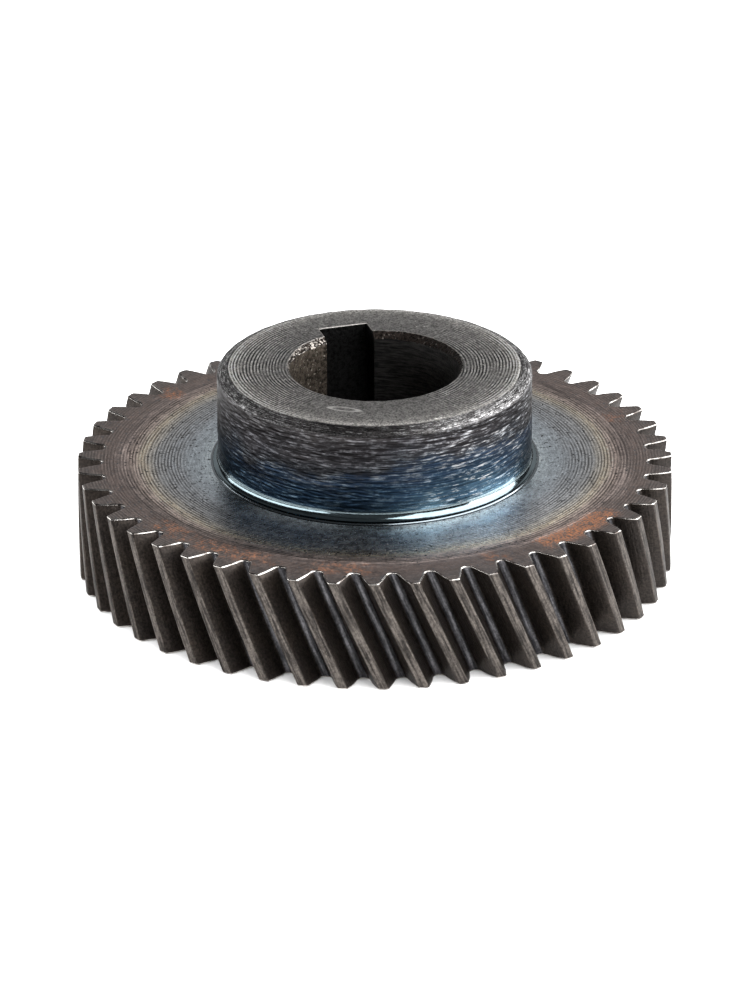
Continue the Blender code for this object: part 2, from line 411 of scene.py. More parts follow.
def bore_outline():
    """(x, y) points round the bore and its keyway, anticlockwise, the keyway on the +Y side."""
    half_gap = math.asin(KEYWAY_HALF_WIDTH / BORE_RADIUS)
    turn = np.linspace(math.pi / 2 + half_gap, 2 * math.pi + math.pi / 2 - half_gap, BORE_POINTS)
    arc = np.stack([BORE_RADIUS * np.cos(turn), BORE_RADIUS * np.sin(turn)], axis=1)
    side = np.linspace(arc[-1, 1], KEYWAY_FLOOR, 12)[1:-1]
    floor = np.linspace(KEYWAY_HALF_WIDTH, -KEYWAY_HALF_WIDTH, 24)
    right = np.stack([np.full(len(side), KEYWAY_HALF_WIDTH), side], axis=1)
    top = np.stack([floor, np.full(len(floor), KEYWAY_FLOOR)], axis=1)
    left = right[::-1] * (-1, 1)
    return np.concatenate([arc, right, top, left])


def outward_normals(outline):
    """Unit normals of a closed anticlockwise outline, away from its inside."""
    along = np.roll(outline, -1, axis=0) - np.roll(outline, 1, axis=0)
    normals = np.stack([along[:, 1], -along[:, 0]], axis=1)
    return normals / np.linalg.norm(normals, axis=1, keepdims=True)


def stack_rings(name, outline, normals, rings, finish):
    """A closed solid from an outline at several heights. Each ring is (height, how far it is spread)."""
    rows = []
    for height, spread in rings:
        flat = outline + normals * spread
        rows.append(np.column_stack([flat, np.broadcast_to(height, len(flat))]))
    shell = Shell()
    shell.add(np.stack(rows), 0, closed=True)
    cutter = shell.build(name, [finish])
    close_ends(cutter)
    return cutter


def bore_cutter(finish):
    """The bore with its keyway, both edges slightly broken."""
    above = 0.4
    heights = np.linspace(NOSE - BROKEN_EDGE, BACK_CHAMFER, 5)
    rings = [(NOSE + above, BROKEN_EDGE + above), *((height, 0.0) for height in heights)]
    rings.append((-above, BACK_CHAMFER + above))
    outline = bore_outline()
    return stack_rings("bore_cutter", outline, outward_normals(outline), rings, finish)


def mouth_cutter(finish):
    """The bore's mouth: a shallow cone opened by hand, so it is rough and its width varies round the bore."""
    turn = np.arange(BORE_POINTS) * 2 * math.pi / BORE_POINTS
    width = np.full(BORE_POINTS, MOUTH_LEAST)
    for azimuth, half_width, extra in MOUTH_SPREADS:
        away = np.degrees(np.angle(np.exp(1j * (turn - math.radians(azimuth)))))
        width += extra * np.exp(-(away / half_width) ** 2)
    around = np.stack([np.cos(turn), np.sin(turn)], axis=1)
    above = 0.3
    rings = []
    for share in (-above, 0.0, 0.25, 0.5, 0.75, 1.0, 1.3):
        rough = 0.035 * waves(50, turn, share, 110, 1.5, count=40) + 0.03 * waves(51, turn, share, 30, 0.8)
        open_by = width * (1 - share) + rough * np.minimum(1, width / 0.3)
        rings.append((NOSE - 0.85 * width * share, open_by[:, None]))
    return stack_rings("mouth_cutter", BORE_RADIUS * around, around, rings, finish)


def subtract(piece, cutter):
    """Cut one solid out of another, for good, and remove the cutter."""
    boolean = piece.modifiers.new("cut", "BOOLEAN")
    boolean.operation = "DIFFERENCE"
    boolean.solver = "MANIFOLD"
    boolean.object = cutter
    evaluated = piece.evaluated_get(bpy.context.evaluated_depsgraph_get())
    mesh = bpy.data.meshes.new_from_object(evaluated)
    piece.modifiers.clear()
    piece.data = mesh
    bpy.data.objects.remove(cutter, do_unlink=True)


def close_ends(piece):
    """Close the open ends of a tube."""
    bm = bmesh.new()
    bm.from_mesh(piece.data)
    bmesh.ops.holes_fill(bm, edges=[edge for edge in bm.edges if edge.is_boundary], sides=0)
    bmesh.ops.recalc_face_normals(bm, faces=bm.faces)
    bm.to_mesh(piece.data)
    bm.free()


# =====================================================================================
# Braze fillet
# =====================================================================================
def make_braze(finish):
    """The ring of braze: a hollow face between hub and web, and a low rolled lip outside it."""
    top = np.array([HUB_RADIUS - 0.28, BRAZE_TOP])
    ridge = np.array([BRAZE_RADIUS - 0.42, FACE + 0.14])
    lean = np.radians(np.linspace(5, 86, 21))[:, None]
    share_out = (np.cos(lean[0]) - np.cos(lean)) / (np.cos(lean[0]) - np.cos(lean[-1]))
    share_down = (np.sin(lean) - np.sin(lean[0])) / (np.sin(lean[-1]) - np.sin(lean[0]))
    hollow = top + (ridge - top) * np.concatenate([share_out, share_down], axis=1)
    roll = np.array([
        [0.05, 0.01], [0.12, 0.0], [0.16, -0.03], [0.185, -0.09], [0.22, -0.125], [0.40, -0.14]])
    inner = HUB_RADIUS - ROOT_GROOVE_DEPTH + 0.02
    inner_top = [[inner, BRAZE_TOP]]
    profile = np.concatenate([inner_top, hollow, ridge + roll, [[inner, FACE]], inner_top])
    radius, height = profile[:, :1], profile[:, 1:]
    angle = np.arange(360)[None, :] * 2 * math.pi / 360
    outside = (radius > HUB_RADIUS) * (height > FACE + 0.001)
    ripple = 0.008 * waves(61, angle, height, 30, 0.6) * outside
    shell = Shell()
    shell.add(polar_points(angle, radius + ripple, height + 0 * angle), 0, closed=True)
    return shell.build("gear_braze", [finish], sharp_angle=math.radians(60))


# =====================================================================================
# Finishes
# =====================================================================================
def grey(value):
    """An even grey."""
    return (value, value, value)


class Finish:
    """A metal's material, with short names for the nodes that the finishes share.

    Places are in millimetres: radius from the bore's axis, and height over the wheel's back face.
    edge_on is how much of the usual glare it keeps where it is seen nearly edge-on.
    """

    def __init__(self, name, metallic=1.0, roughness=0.4, edge_on=1.0):
        self.material = bpy.data.materials.new(name)
        self.material.use_nodes = True
        self.tree = self.material.node_tree
        self.shader = self.tree.nodes["Principled BSDF"]
        self.shader.inputs["Metallic"].default_value = metallic
        self.shader.inputs["Roughness"].default_value = roughness
        self.shader.inputs["Specular Tint"].default_value = (*grey(edge_on), 1.0)
        place = self.node("ShaderNodeTexCoord").outputs["Object"]
        self.place = self.vector("MULTIPLY", place, (1 / MM, 1 / MM, 1 / MM))
        split = self.node("ShaderNodeSeparateXYZ", {0: self.place})
        self.height = split.outputs["Z"]
        flat = self.vector("MULTIPLY", self.place, (1, 1, 0))
        self.radius = self.vector("LENGTH", flat, output="Value")
        self.direction = self.vector("NORMALIZE", flat)

    def node(self, kind, inputs=None, **settings):
        """Add a node, with its settings and its inputs by name or number."""
        made = self.tree.nodes.new(kind)
        for key, value in settings.items():
            setattr(made, key, value)
        for key, value in (inputs or {}).items():
            if isinstance(value, bpy.types.NodeSocket):
                self.tree.links.new(value, made.inputs[key])
            else:
                made.inputs[key].default_value = value
        return made

    def vector(self, operation, first, second=None, output="Vector"):
        """One vector operation."""
        inputs = {0: first} if second is None else {0: first, 1: second}
        return self.node("ShaderNodeVectorMath", inputs, operation=operation).outputs[output]

    def math(self, operation, first, second=0.0, clamp=False):
        """One operation on numbers."""
        return self.node(
            "ShaderNodeMath", {0: first, 1: second}, operation=operation, use_clamp=clamp
        ).outputs[0]

    def span(self, value, low, high, at_low=0.0, at_high=1.0):
        """at_low under low, at_high over high, smooth between."""
        inputs = {"Value": value, "From Min": low, "From Max": high, "To Min": at_low, "To Max": at_high}
        return self.node("ShaderNodeMapRange", inputs, interpolation_type="SMOOTHSTEP").outputs[0]

    def facing(self, azimuth, far, near):
        """1 within near of a direction from the axis, 0 beyond far, smooth between. All are in degrees."""
        turn = math.radians(azimuth)
        middle = (math.cos(turn), math.sin(turn), 0)
        cosine = self.vector("DOT_PRODUCT", self.direction, middle, output="Value")
        return self.span(cosine, math.cos(math.radians(far)), math.cos(math.radians(near)))

    def ring_place(self, around, outward, upward, shift=0.0):
        """A place that a noise reads in streaks round the axis, without a seam. shift gives other noise."""
        lengthwise = self.math("ADD", self.math("MULTIPLY", self.radius, outward), shift)
        lengthwise = self.math("ADD", lengthwise, self.math("MULTIPLY", self.height, upward))
        ring = self.vector("MULTIPLY", self.direction, (around, around, 0))
        lift = self.node("ShaderNodeCombineXYZ", {2: lengthwise}).outputs[0]
        return self.vector("ADD", ring, lift)

    def noise(self, place, scale, detail=2.0, roughness=0.5):
        """Soft noise from 0 to 1."""
        inputs = {"Vector": place, "Scale": scale, "Detail": detail, "Roughness": roughness}
        return self.node("ShaderNodeTexNoise", inputs).outputs["Fac"]

    def mix(self, factor, first, second, blend="MIX"):
        """Blend two colours."""
        made = self.node("ShaderNodeMix", data_type="RGBA", blend_type=blend)
        for socket, value in zip((made.inputs[0], made.inputs[6], made.inputs[7]), (factor, first, second)):
            if isinstance(value, bpy.types.NodeSocket):
                self.tree.links.new(value, socket)
            elif isinstance(value, tuple):
                socket.default_value = (*value, 1.0)
            else:
                socket.default_value = value
        return made.outputs[2]

    def ramp(self, value, low, high, stops):
        """A colour for each place between low and high. stops are (place, colour)."""
        inputs = {"Value": value, "From Min": low, "From Max": high}
        factor = self.node("ShaderNodeMapRange", inputs).outputs[0]
        made = self.node("ShaderNodeValToRGB", {0: factor})
        made.color_ramp.interpolation = "EASE"
        elements = made.color_ramp.elements
        while len(elements) < len(stops):
            elements.new(0.5)
        for element, (place, colour) in zip(elements, stops):
            element.position = (place - low) / (high - low)
            element.color = (*colour, 1.0)
        return made.outputs["Color"]

    def set(self, socket, value):
        """Link a shader's input."""
        self.tree.links.new(value, self.shader.inputs[socket])

    def bump(self, value, depth):
        """Raise the surface by up to depth, in millimetres."""
        made = self.node("ShaderNodeBump", {"Height": value, "Distance": depth * MM})
        made.inputs["Strength"].default_value = 1.0
        self.set("Normal", made.outputs["Normal"])


def ridge_lines(steel, place, shift):
    """Lines of a turned face: 0 in the grooves, 1 on the ridges. place is in millimetres across them."""
    drift = steel.noise(steel.ring_place(1.5, 0.4, 0.4, shift), 1.0, 3.0)
    moved = steel.math("ADD", place, steel.math("MULTIPLY", drift, 0.5))
    wave = steel.math("SINE", steel.math("MULTIPLY", moved, 2 * math.pi / GROOVE_PITCH))
    return steel.span(wave, -0.55, 0.75)


def toned(steel, colour, factor, low, high):
    """The colour, darkened or lightened by a grey that goes from low to high with the factor."""
    return steel.mix(1.0, colour, steel.mix(factor, grey(low), grey(high)), "MULTIPLY")


def rust_amount(steel, grain):
    """Where the wheel's face has rusted: patches just inside the teeth."""
    total = 0.0
    for azimuth, half_width, strength in RUST_PATCHES:
        patch = steel.math(
            "MULTIPLY", steel.facing(azimuth, half_width * 1.4, half_width * 0.4), strength)
        total = steel.math("ADD", patch, total)
    band = steel.math(
        "MULTIPLY", steel.span(steel.radius, 24.4, 25.6), steel.span(steel.radius, 28.4, 27.0))
    field = steel.noise(steel.place, 1.2, 6.0, 0.76)
    spots = steel.span(steel.math("ADD", field, steel.math("MULTIPLY", total, 0.20)), 0.54, 0.66)
    in_patch = steel.span(total, 0.0, 0.8, 0.10, 1.0)
    cover = steel.math("MULTIPLY", steel.math("MULTIPLY", spots, band), in_patch)
    return steel.math("MULTIPLY", cover, steel.span(grain, 0.2, 0.8, 0.45, 1.0))


def web_finish():
    """The wheel's front face: temper colours in rings from the hub out, pits, turned grooves with painted
    shade and highlights, rust, and a painted glow near the hub.
    """
    steel = Finish("web_steel")
    drift = steel.noise(steel.ring_place(2.0, 0.15, 0.0), 1.0, 3.0)
    drift = steel.math("MULTIPLY", steel.math("SUBTRACT", drift, 0.5), 1.8)
    drifted = steel.math("ADD", steel.radius, drift)
    colour = steel.ramp(drifted, 16.0, 30.0, [
        (16.4, (0.68, 0.77, 0.82)),
        (18.0, (0.55, 0.61, 0.66)),
        (20.0, (0.54, 0.575, 0.615)),
        (21.6, (0.57, 0.58, 0.59)),
        (22.4, (0.76, 0.71, 0.63)),
        (23.1, (0.98, 0.83, 0.64)),
        (23.9, (0.84, 0.68, 0.60)),
        (24.8, (0.34, 0.275, 0.250)),
        (25.4, (0.095, 0.075, 0.068)),
        (26.2, (0.056, 0.042, 0.037)),
        (29.5, (0.044, 0.036, 0.033)),
    ])
    fine = steel.span(steel.noise(steel.place, 5.0, 2.0, 0.6), 0.30, 0.70)
    mottle = steel.span(steel.noise(steel.place, 1.6, 6.0, 0.7), 0.36, 0.64)
    colour = toned(steel, colour, mottle, 0.80, 1.18)
    colour = toned(steel, colour, fine, 0.72, 1.26)
    streaks = steel.span(steel.noise(steel.ring_place(14.0, 9.0, 0.0), 1.0, 3.0, 0.6), 0.32, 0.68)
    colour = toned(steel, colour, streaks, 0.74, 1.24)
    uneven = steel.noise(steel.ring_place(7.0, 2.0, 0.0, 3.0), 1.0, 3.0)
    # Painted shade in the turned grooves and a painted highlight on their ridges, between radii 18.2 and
    # 20.2.
    grooved = steel.math(
        "MULTIPLY", steel.span(steel.radius, 18.2, 20.2), steel.span(uneven, 0.32, 0.6, 0.35, 1.0))
    ridges = ridge_lines(steel, steel.radius, 0.0)
    grooves = steel.math("MULTIPLY", steel.math("SUBTRACT", 1.0, ridges), grooved)
    deep = steel.span(steel.radius, 24.2, 26.0, 0.9, 0.45)
    groove_shade_colour = steel.mix(1.0, colour, (0.17, 0.16, 0.155), "MULTIPLY")
    colour = steel.mix(steel.math("MULTIPLY", grooves, deep), colour, groove_shade_colour)
    # Painted highlight: the ridges are lightened.
    lit = steel.math("MULTIPLY", ridges, grooved)
    lit = steel.math("MULTIPLY", lit, steel.span(fine, 0.3, 0.9, 0.1, 0.5))
    lit = steel.math("MULTIPLY", lit, steel.span(steel.radius, 23.0, 24.6, 1.0, 0.04))
    colour = steel.mix(lit, colour, (1.0, 0.96, 0.92), "SCREEN")
    pits = steel.span(steel.noise(steel.place, 3.1, 2.0, 0.5), 0.635, 0.68)
    colour = steel.mix(pits, colour, (0.03, 0.03, 0.033))

    grain = steel.span(steel.noise(steel.place, 4.5, 4.0, 0.7), 0.32, 0.68)
    rust = rust_amount(steel, grain)
    rust_colour = steel.mix(grain, (0.022, 0.011, 0.007), (0.158, 0.056, 0.019))
    steel.set("Base Color", steel.mix(rust, colour, rust_colour))
    # Painted glow: near the hub on the lit side, faintly in the straw band there, and on a second, fainter
    # side, the web is made less metallic, so that the fill brightens it like a reflection of the bright
    # braze.
    hub_glow = steel.math(
        "MULTIPLY", steel.facing(BLUE_AND_LIT_SIDE, 33, 14), steel.span(steel.radius, 19.6, 16.0, 0.0, 0.20))
    straw_band = steel.math(
        "MULTIPLY", steel.span(steel.radius, 18.0, 20.5, 0.0, 0.07), steel.span(steel.radius, 24.8, 23.4))
    straw_glow = steel.math("MULTIPLY", steel.facing(BLUE_AND_LIT_SIDE + 6, 34, 14), straw_band)
    faint_glow = steel.math(
        "MULTIPLY", steel.facing(FAINT_GLOW_SIDE, 22, 6), steel.span(steel.radius, 19.5, 16.2, 0.0, 0.045))
    bare = steel.span(steel.radius, 24.4, 26.4, 0.992, 0.35)
    for glow in (hub_glow, faint_glow, straw_glow):
        bare = steel.math("SUBTRACT", bare, glow)
    steel.set("Metallic", steel.math("MULTIPLY", bare, steel.span(rust, 0.0, 1.0, 1.0, 0.0)))
    rough = steel.math("ADD", steel.span(mottle, 0.0, 1.0, 0.24, 0.32), steel.math("MULTIPLY", rust, 0.4))
    steel.set("Roughness", steel.math("ADD", rough, steel.span(steel.radius, 22.5, 26.0, 0.0, 0.20)))
    relief = steel.math("ADD", steel.math("MULTIPLY", streaks, 0.5), steel.math("MULTIPLY", fine, 0.5))
    dips = steel.math("ADD", steel.math("MULTIPLY", grooves, 1.2), steel.math("MULTIPLY", pits, 2.0))
    steel.bump(steel.math("SUBTRACT", relief, dips), 0.007)
    return steel.material


def edge_finish():
    """The rounded edges of the teeth, worn to bare steel in most places."""
    steel = Finish("worn_edge", roughness=0.26)
    worn = steel.span(steel.noise(steel.place, 0.9, 4.0, 0.6), 0.36, 0.58)
    steel.set("Base Color", steel.mix(worn, (0.10, 0.085, 0.078), (0.62, 0.59, 0.56)))
    steel.bump(steel.noise(steel.place, 6.0, 2.0), 0.010)
    return steel.material


def flank_finish():
    """The tooth sides: near-black flanks, lighter tips with streaks along the tooth, and bluish roots."""
    steel = Finish("tooth_steel", metallic=0.75, edge_on=0.55)
    split = steel.node("ShaderNodeSeparateXYZ", {0: steel.place})
    angle = steel.math("ARCTAN2", split.outputs["Y"], split.outputs["X"])
    tooth_angle = steel.math("ADD", angle, steel.math("MULTIPLY", steel.height, TWIST_PER_MM))
    place = steel.node("ShaderNodeCombineXYZ", {
        0: steel.math("MULTIPLY", tooth_angle, TIP_RADIUS),
        1: steel.radius,
        2: steel.math("MULTIPLY", steel.height, 0.10),
    }).outputs[0]
    streaks = steel.span(steel.noise(place, 4.0, 4.0, 0.62), 0.34, 0.66)
    blotches = steel.noise(steel.place, 0.35, 4.0, 0.6)
    specks = steel.noise(steel.place, 4.0, 3.0, 0.65)

    tip = steel.span(steel.radius, TIP_RADIUS - 0.10, TIP_RADIUS - 0.03)
    root = steel.span(steel.radius, ROOT_RADIUS + 0.22, ROOT_RADIUS + 0.08)
    flank_colour = steel.mix(blotches, (0.016, 0.014, 0.014), (0.036, 0.028, 0.022))
    tip_colour = steel.mix(streaks, (0.017, 0.0145, 0.013), (0.092, 0.080, 0.071))
    root_colour = steel.mix(streaks, (0.018, 0.018, 0.020), (0.084, 0.082, 0.088))
    colour = steel.mix(tip, steel.mix(root, flank_colour, root_colour), tip_colour)
    colour = toned(steel, colour, steel.span(specks, 0.32, 0.68), 0.6, 1.4)
    steel.set("Base Color", colour)
    steel.set("Roughness", steel.span(tip, 0.0, 1.0, 0.38, 0.46))
    steel.bump(steel.math("ADD", streaks, steel.math("MULTIPLY", specks, 0.8)), 0.012)
    return steel.material


def back_finish(name):
    """A back face, and the wheel's hole: plain turned steel, with painted shade in its grooves."""
    steel = Finish(name, roughness=0.38)
    mottle = steel.noise(steel.place, 1.2, 5.0, 0.65)
    streaks = steel.noise(steel.ring_place(8.0, 6.0, 0.0), 1.0, 3.0, 0.6)
    colour = steel.mix(mottle, (0.17, 0.155, 0.15), (0.36, 0.345, 0.335))
    colour = toned(steel, colour, streaks, 0.7, 1.3)
    # Painted shade: the turned grooves are darkened.
    grooves = steel.math("SUBTRACT", 1.0, ridge_lines(steel, steel.radius, 3.0))
    steel.set("Base Color", steel.mix(steel.math("MULTIPLY", grooves, 0.5), colour, grey(0.07)))
    steel.bump(steel.math("SUBTRACT", streaks, grooves), 0.012)
    return steel.material


def nose_colour(steel):
    """The nose face: grey turned steel, lighter towards its rim, with specks, one scratch loop, painted shade
    and highlight in its rings, and a painted highlight along its rim.
    """
    nose_edge = HUB_RADIUS - NOSE_BEVEL_WIDTH
    colour = steel.ramp(steel.radius, BORE_RADIUS, nose_edge + 0.2, [
        (9.0, (0.262, 0.255, 0.248)),
        (12.6, (0.315, 0.305, 0.295)),
        (13.6, (0.40, 0.386, 0.370)),
        (14.25, (0.57, 0.55, 0.525)),
    ])
    fine = steel.span(steel.noise(steel.place, 5.5, 2.0, 0.6), 0.30, 0.70)
    mottle = steel.span(steel.noise(steel.place, 1.4, 5.0, 0.7), 0.36, 0.64)
    colour = toned(steel, colour, fine, 0.50, 1.50)
    colour = toned(steel, colour, mottle, 0.78, 1.22)
    # Painted shade and highlight: the rings are darkened in the grooves and lightened on the ridges, most
    # towards RINGED_SIDES and its opposite, where they are seen along their length.
    uneven = steel.span(steel.noise(steel.ring_place(4.0, 0.8, 0.0, 2.0), 1.0, 3.0), 0.36, 0.60, 0.30, 1.0)
    ridges = ridge_lines(steel, steel.radius, 7.0)
    ringed_way = (math.cos(RINGED_SIDES), math.sin(RINGED_SIDES), 0)
    across = steel.vector("DOT_PRODUCT", steel.direction, ringed_way, output="Value")
    shown = steel.span(steel.math("ABSOLUTE", across), 0.35, 0.9, 0.30, 1.0)
    ring_shade_and_highlight = toned(steel, colour, ridges, 0.15, 2.1)
    colour = steel.mix(steel.math("MULTIPLY", uneven, shown), colour, ring_shade_and_highlight)
    specks = steel.span(steel.noise(steel.place, 2.9, 1.0, 0.5), 0.735, 0.76)
    colour = steel.mix(specks, colour, (0.95, 0.94, 0.90))
    # A light line along the nose's rim: partly its burr worn bright, partly a painted highlight on it.
    rim = steel.math(
        "MULTIPLY", steel.span(steel.radius, nose_edge - 0.20, nose_edge - 0.05),
        steel.span(steel.radius, nose_edge + 0.14, nose_edge + 0.04))
    rim = steel.math("MULTIPLY", rim, steel.span(fine, 0.1, 0.9, 0.05, 1.0))
    colour = steel.mix(rim, colour, (0.86, 0.84, 0.80))
    colour = steel.mix(steel.math("MULTIPLY", scratch_loop(steel), 0.75), colour, (0.95, 0.93, 0.90))
    return colour, fine, ridges, rim


def scratch_loop(steel):
    """A thin scratch on the nose, in a long narrow loop: 1 on the line, 0 off it."""
    cosine, sine = math.cos(SCRATCH_AZIMUTH), math.sin(SCRATCH_AZIMUTH)
    half_length, half_width = SCRATCH_SIZE
    out = steel.vector("DOT_PRODUCT", steel.place, (cosine, sine, 0), output="Value")
    out = steel.math("DIVIDE", steel.math("SUBTRACT", out, SCRATCH_RADIUS), half_width)
    along_way = (-sine / half_length, cosine / half_length, 0)
    along = steel.vector("DOT_PRODUCT", steel.place, along_way, output="Value")
    from_middle = steel.math("SQRT", steel.math(
        "ADD", steel.math("MULTIPLY", out, out), steel.math("MULTIPLY", along, along)))
    off_line = steel.math("ABSOLUTE", steel.math("SUBTRACT", from_middle, 1.0))
    return steel.span(off_line, 0.30, 0.10)


def hub_finish():
    """The hub's outside: grey turned nose, rough dark wall that turns deep blue towards the root, painted
    lighter on its lit side and darker on the bevel's shaded side.
    """
    steel = Finish("hub_steel_finish", edge_on=0.6)
    bevel_foot = NOSE - NOSE_BEVEL_HEIGHT
    on_nose = steel.span(steel.height, NOSE - 0.08, NOSE - 0.03)
    on_bevel = steel.span(steel.height, bevel_foot - 0.10, bevel_foot + 0.10)

    patchy = steel.noise(steel.ring_place(3.0, 0.0, 0.3), 1.0, 4.0, 0.6)
    climb = steel.math("MULTIPLY", steel.facing(BLUE_AND_LIT_SIDE, 48, 14), 0.30)
    patchy = steel.math("SUBTRACT", steel.math("SUBTRACT", patchy, climb), 0.5)
    rise = steel.math("ADD", steel.height, steel.math("MULTIPLY", patchy, 6.0))
    dark = steel.ramp(rise, FACE - 2.0, NOSE, [
        (FACE - 1.4, (0.060, 0.105, 0.135)),
        (FACE + 0.4, (0.022, 0.042, 0.064)),
        (FACE + 2.2, (0.012, 0.024, 0.043)),
        (FACE + 3.8, (0.014, 0.023, 0.040)),
        (FACE + 5.0, (0.018, 0.019, 0.022)),
        (FACE + 7.0, (0.016, 0.015, 0.016)),
        (NOSE, (0.022, 0.020, 0.020)),
    ])
    light = steel.ramp(rise, FACE - 2.0, NOSE, [
        (FACE - 1.4, (0.30, 0.42, 0.49)),
        (FACE + 0.4, (0.060, 0.098, 0.124)),
        (FACE + 2.4, (0.058, 0.100, 0.144)),
        (FACE + 4.2, (0.112, 0.128, 0.146)),
        (FACE + 6.0, (0.096, 0.096, 0.106)),
        (NOSE, (0.105, 0.102, 0.105)),
    ])
    torn = steel.noise(steel.ring_place(8.0, 0.0, 5.2), 1.0, 5.0, 0.68)
    broken = steel.noise(steel.ring_place(18.0, 0.0, 2.6, 9.0), 1.0, 3.0, 0.65)
    lines = steel.span(steel.noise(steel.ring_place(1.8, 0.0, 5.6, 5.0), 1.0, 2.0, 0.6), 0.40, 0.60)
    flakes = steel.math("MULTIPLY", steel.span(torn, 0.45, 0.58), steel.span(broken, 0.40, 0.58, 0.15, 1.0))
    # Painted light: on the side towards the lights the wall's light flakes are fuller, and its bright flakes
    # show nearly only there, as painted highlights.
    lit_side = steel.facing(BLUE_AND_LIT_SIDE + 18, 45, 6)
    flakes = steel.math("MULTIPLY", flakes, steel.span(lit_side, 0.0, 1.0, 0.80, 1.0))
    bright = steel.math("MULTIPLY", steel.span(torn, 0.52, 0.62), steel.span(broken, 0.44, 0.60))
    bright = steel.math("MULTIPLY", bright, steel.span(lit_side, 0.0, 1.0, 0.10, 1.0))
    wall_colour = steel.mix(bright, steel.mix(flakes, dark, light), (0.36, 0.37, 0.385))
    wall_colour = toned(steel, wall_colour, lines, 0.60, 1.30)

    bevel_torn = steel.noise(steel.ring_place(12.0, 7.0, -7.0), 1.0, 4.0, 0.65)
    # Painted light and shade: the bevel gets more light flakes on its lit side and fewer on its shaded side.
    bevel_torn = steel.math(
        "ADD", bevel_torn, steel.span(steel.facing(BLUE_AND_LIT_SIDE + 18, 44, 14), 0.0, 1.0, -0.018, 0.02))
    shaded = steel.math("MULTIPLY", steel.facing(SHADED_SIDE, 45, 18), 0.06)
    bevel_torn = steel.math("SUBTRACT", bevel_torn, shaded)
    bevel_broken = steel.noise(steel.ring_place(40.0, 5.0, -5.0, 4.0), 1.0, 2.0, 0.6)
    bevel_flakes = steel.math(
        "MULTIPLY", steel.span(bevel_torn, 0.42, 0.58), steel.span(bevel_broken, 0.36, 0.60, 0.2, 1.0))
    # Painted light: the bevel's flakes lighten towards its top, which turns up to the light.
    up_bevel = steel.span(steel.height, bevel_foot, NOSE - 0.3)
    bevel_light = steel.mix(up_bevel, (0.15, 0.15, 0.158), (0.52, 0.515, 0.515))
    bevel_colour = steel.mix(bevel_flakes, (0.066, 0.063, 0.063), bevel_light)
    turned = steel.span(steel.noise(steel.ring_place(2.0, 5.0, -5.0), 1.0, 2.0, 0.6), 0.38, 0.62)
    bevel_colour = toned(steel, bevel_colour, turned, 0.65, 1.35)
    in_shade = steel.facing(SHADED_SIDE, 26, 10)
    bevel_colour = steel.mix(in_shade, bevel_colour, grey(0.40), "MULTIPLY")
    crumbs = steel.span(steel.noise(steel.ring_place(70.0, 7.0, -7.0), 1.0, 2.0, 0.7), 0.40, 0.60)
    bevel_colour = toned(steel, bevel_colour, crumbs, 0.50, 1.50)

    face_colour, fine, ridges, rim = nose_colour(steel)
    colour = steel.mix(on_bevel, wall_colour, bevel_colour)
    steel.set("Base Color", steel.mix(on_nose, colour, face_colour))

    rough = steel.span(steel.height, FACE + 1.0, FACE + 5.0, 0.24, 0.38)
    rough = steel.math("ADD", rough, steel.math("MULTIPLY", on_bevel, 0.12))
    steel.set("Roughness", steel.math("ADD", rough, steel.math("MULTIPLY", rim, 0.04)))
    bevel_relief = steel.math("ADD", bevel_torn, crumbs)
    wall_relief = steel.math("ADD", torn, steel.math("MULTIPLY", bevel_relief, on_bevel))
    nose_relief = steel.math("ADD", steel.math("MULTIPLY", fine, 0.4), steel.math("MULTIPLY", ridges, 0.6))
    nose_share = steel.math("MULTIPLY", nose_relief, on_nose)
    wall_share = steel.math("MULTIPLY", wall_relief, steel.math("SUBTRACT", 1.0, on_nose))
    steel.bump(steel.math("ADD", nose_share, steel.math("MULTIPLY", wall_share, 1.6)), 0.014)
    return steel.material


def bore_side(steel):
    """1 towards the bore's dirty side, 0 in the other directions."""
    return steel.facing(DIRTY_SIDE, 38.7, 28.4)


def bore_finish():
    """The bore and keyway: nearly black and finely streaked, grainy brown on one side, edges worn light, and
    painted darker in the keyway for its shade.
    """
    steel = Finish("bore_steel", roughness=0.5)
    mottle = steel.span(steel.noise(steel.place, 2.4, 5.0, 0.7), 0.36, 0.64)
    streaks = steel.span(steel.noise(steel.ring_place(5.0, 0.0, 5.0), 1.0, 4.0, 0.6), 0.34, 0.66)
    colour = steel.mix(streaks, (0.018, 0.018, 0.018), (0.062, 0.060, 0.058))
    grains = steel.mix(mottle, (0.030, 0.025, 0.020), (0.150, 0.125, 0.100))
    specks = steel.span(steel.noise(steel.place, 3.2, 2.0, 0.6), 0.62, 0.68)
    grains = steel.mix(specks, grains, (0.40, 0.36, 0.31))
    colour = steel.mix(bore_side(steel), colour, grains)
    # Painted shade: the keyway is darker still than the bore.
    in_keyway = steel.span(steel.radius, BORE_RADIUS + 0.05, BORE_RADIUS + 0.2)
    colour = steel.mix(in_keyway, colour, steel.mix(mottle, grey(0.008), grey(0.020)))
    worn = steel.span(steel.height, NOSE - BROKEN_EDGE, NOSE - BROKEN_EDGE * 0.6)
    steel.set("Base Color", steel.mix(worn, colour, (0.42, 0.40, 0.38)))
    steel.bump(mottle, 0.03)
    return steel.material


